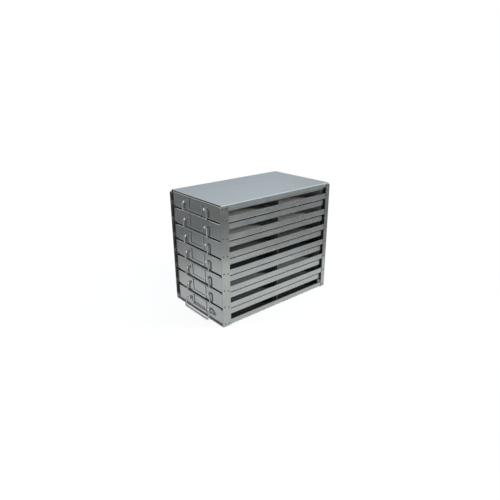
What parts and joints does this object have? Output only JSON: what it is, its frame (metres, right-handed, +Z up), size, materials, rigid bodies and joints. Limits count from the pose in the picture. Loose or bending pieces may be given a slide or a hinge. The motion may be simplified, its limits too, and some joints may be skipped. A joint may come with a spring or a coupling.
{
  "type": "freezer drawer rack",
  "caption": "Open sheet-steel rack with a stack of shallow sliding drawers, each with a divider, a blank label holder and a swinging bail pull.",
  "frame": {"origin": "middle of the base panel's underside", "axes": "+X across to the rack's right as seen from the front, +Y from the fronts to the rear, +Z up"},
  "size_m": [0.285, 0.5033, 0.4055],
  "materials": {
    "rack_sheet": "brushed, spot-welded",
    "drawer_sheet": "brushed, folded",
    "bright_post": "polished",
    "bail_wire": "drawn wire"
  },
  "bodies": {
    "rack": {"top_panel": "rack_sheet", "base_panel": "rack_sheet", "left_front_post": "rack_sheet", "right_front_post": "rack_sheet", "left_rear_post": "rack_sheet", "right_rear_post": "rack_sheet", "back_panel": "rack_sheet", "left_rails": "rack_sheet", "right_rails": "rack_sheet"},
    "drawer_1": {"drawer_tray_1": "drawer_sheet", "gallery_band_1": "drawer_sheet", "drawer_front_1": "drawer_sheet", "divider_1": "drawer_sheet", "label_holder_1": "drawer_sheet", "handle_posts_1": "bright_post"},
    "bail_1": {"bail_handle_1": "bail_wire"},
    "drawer_2": {"drawer_tray_2": "drawer_sheet", "gallery_band_2": "drawer_sheet", "drawer_front_2": "drawer_sheet", "divider_2": "drawer_sheet", "label_holder_2": "drawer_sheet", "handle_posts_2": "bright_post"},
    "bail_2": {"bail_handle_2": "bail_wire"},
    "drawer_3": {"drawer_tray_3": "drawer_sheet", "gallery_band_3": "drawer_sheet", "drawer_front_3": "drawer_sheet", "divider_3": "drawer_sheet", "label_holder_3": "drawer_sheet", "handle_posts_3": "bright_post"},
    "bail_3": {"bail_handle_3": "bail_wire"},
    "drawer_4": {"drawer_tray_4": "drawer_sheet", "gallery_band_4": "drawer_sheet", "drawer_front_4": "drawer_sheet", "divider_4": "drawer_sheet", "label_holder_4": "drawer_sheet", "handle_posts_4": "bright_post"},
    "bail_4": {"bail_handle_4": "bail_wire"},
    "drawer_5": {"drawer_tray_5": "drawer_sheet", "gallery_band_5": "drawer_sheet", "drawer_front_5": "drawer_sheet", "divider_5": "drawer_sheet", "label_holder_5": "drawer_sheet", "handle_posts_5": "bright_post"},
    "bail_5": {"bail_handle_5": "bail_wire"},
    "drawer_6": {"drawer_tray_6": "drawer_sheet", "gallery_band_6": "drawer_sheet", "drawer_front_6": "drawer_sheet", "divider_6": "drawer_sheet", "label_holder_6": "drawer_sheet", "handle_posts_6": "bright_post"},
    "bail_6": {"bail_handle_6": "bail_wire"},
    "drawer_7": {"drawer_tray_7": "drawer_sheet", "gallery_band_7": "drawer_sheet", "drawer_front_7": "drawer_sheet", "divider_7": "drawer_sheet", "label_holder_7": "drawer_sheet", "handle_posts_7": "bright_post"},
    "bail_7": {"bail_handle_7": "bail_wire"}
  },
  "joints": [
    {"name": "drawer_1_slide", "type": "slide", "parent": "rack", "child": "drawer_1", "axis": [0, -1, 0], "range_m": [0, 0.38]},
    {"name": "bail_1_swing", "type": "hinge", "parent": "drawer_1", "child": "bail_1", "pos_m": [0, -0.2432, 0.3788], "axis": [-1, 0, 0], "range_deg": [0, 120]},
    {"name": "drawer_2_slide", "type": "slide", "parent": "rack", "child": "drawer_2", "axis": [0, -1, 0], "range_m": [0, 0.38]},
    {"name": "bail_2_swing", "type": "hinge", "parent": "drawer_2", "child": "bail_2", "pos_m": [0, -0.2432, 0.3208], "axis": [-1, 0, 0], "range_deg": [0, 120]},
    {"name": "drawer_3_slide", "type": "slide", "parent": "rack", "child": "drawer_3", "axis": [0, -1, 0], "range_m": [0, 0.38]},
    {"name": "bail_3_swing", "type": "hinge", "parent": "drawer_3", "child": "bail_3", "pos_m": [0, -0.2432, 0.2628], "axis": [-1, 0, 0], "range_deg": [0, 120]},
    {"name": "drawer_4_slide", "type": "slide", "parent": "rack", "child": "drawer_4", "axis": [0, -1, 0], "range_m": [0, 0.38]},
    {"name": "bail_4_swing", "type": "hinge", "parent": "drawer_4", "child": "bail_4", "pos_m": [0, -0.2432, 0.2048], "axis": [-1, 0, 0], "range_deg": [0, 120]},
    {"name": "drawer_5_slide", "type": "slide", "parent": "rack", "child": "drawer_5", "axis": [0, -1, 0], "range_m": [0, 0.38]},
    {"name": "bail_5_swing", "type": "hinge", "parent": "drawer_5", "child": "bail_5", "pos_m": [0, -0.2432, 0.1468], "axis": [-1, 0, 0], "range_deg": [0, 120]},
    {"name": "drawer_6_slide", "type": "slide", "parent": "rack", "child": "drawer_6", "axis": [0, -1, 0], "range_m": [0, 0.38]},
    {"name": "bail_6_swing", "type": "hinge", "parent": "drawer_6", "child": "bail_6", "pos_m": [0, -0.2432, 0.0888], "axis": [-1, 0, 0], "range_deg": [0, 120]},
    {"name": "drawer_7_slide", "type": "slide", "parent": "rack", "child": "drawer_7", "axis": [0, -1, 0], "range_m": [0, 0.38]},
    {"name": "bail_7_swing", "type": "hinge", "parent": "drawer_7", "child": "bail_7", "pos_m": [0, -0.2432, 0.0308], "axis": [-1, 0, 0], "range_deg": [0, 95]}
  ]
}
